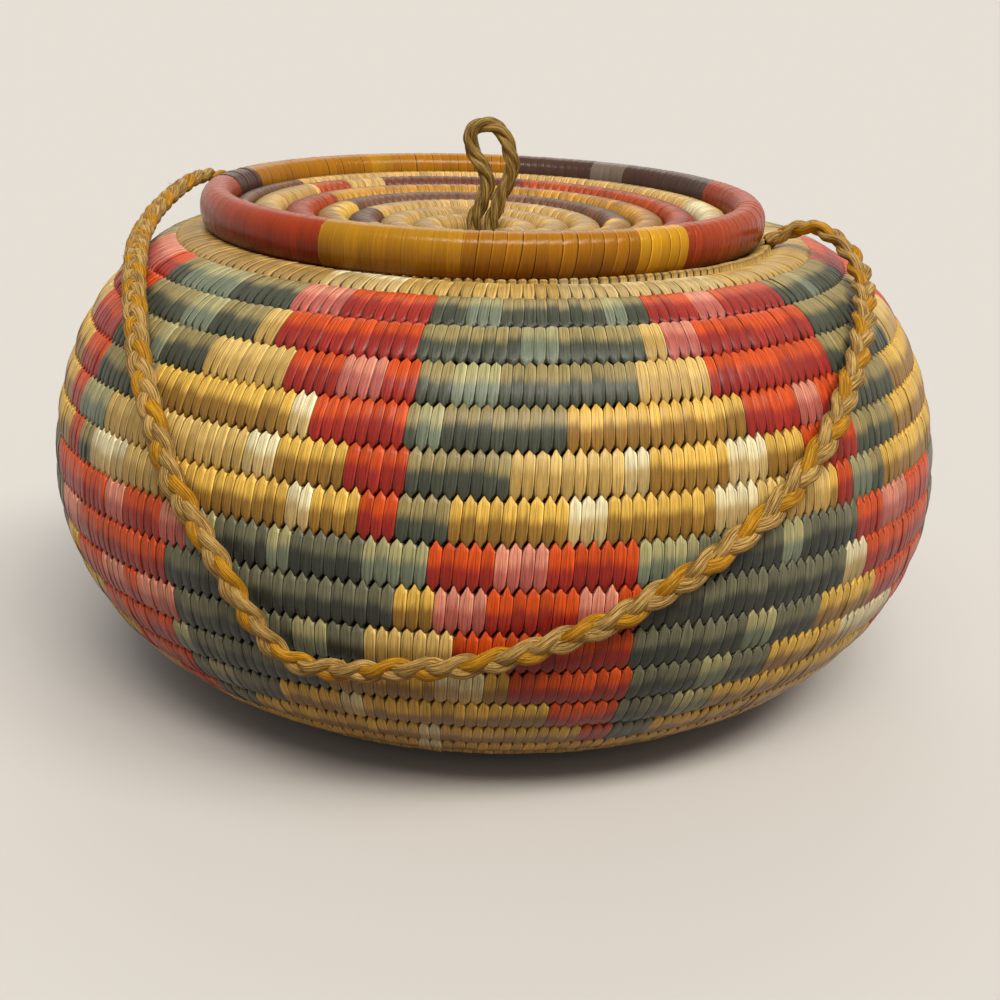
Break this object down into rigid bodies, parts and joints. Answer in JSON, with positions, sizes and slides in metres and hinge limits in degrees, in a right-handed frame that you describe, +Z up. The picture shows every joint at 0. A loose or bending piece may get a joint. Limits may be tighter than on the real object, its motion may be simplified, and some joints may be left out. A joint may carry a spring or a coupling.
{
  "type": "lidded basket",
  "caption": "Round squat coiled grass basket in dyed stepped bands, with a flat coiled lid, a twisted lifting loop and a plaited cord handle.",
  "frame": {"origin": "middle of the foot, on the surface that the basket stands on", "axes": "+Z up along the bowl's axis, -Y towards the front, where the handle hangs"},
  "size_m": [0.2912, 0.2995, 0.1861],
  "materials": {
    "natural_wrap": "natural leaf strip, satin",
    "gold_wrap": "gold dyed leaf strip, satin",
    "red_wrap": "red dyed leaf strip, satin",
    "olive_wrap": "olive dyed leaf strip, satin",
    "glossy_gold_wrap": "gold dyed leaf strip, glossy",
    "twisted_fibre": "twisted leaf fibre, matte",
    "plaited_fibre": "plaited leaf fibre, matte"
  },
  "bodies": {
    "bowl": {"base_coil": "gold_wrap", "lower_wall_coil": "red_wrap", "upper_wall_coil": "olive_wrap", "neck_coil": "natural_wrap", "handle_plait": "plaited_fibre", "handle_left_knot": "plaited_fibre", "handle_right_knot": "plaited_fibre"},
    "lid": {"lid_rim": "glossy_gold_wrap", "lid_coil": "natural_wrap", "lid_collar": "natural_wrap", "lid_loop": "twisted_fibre", "lid_knot": "twisted_fibre"}
  },
  "joints": [
    {"name": "lid_lift", "type": "slide", "parent": "bowl", "child": "lid", "axis": [0, 0, 1], "range_m": [0, 0.15]}
  ]
}
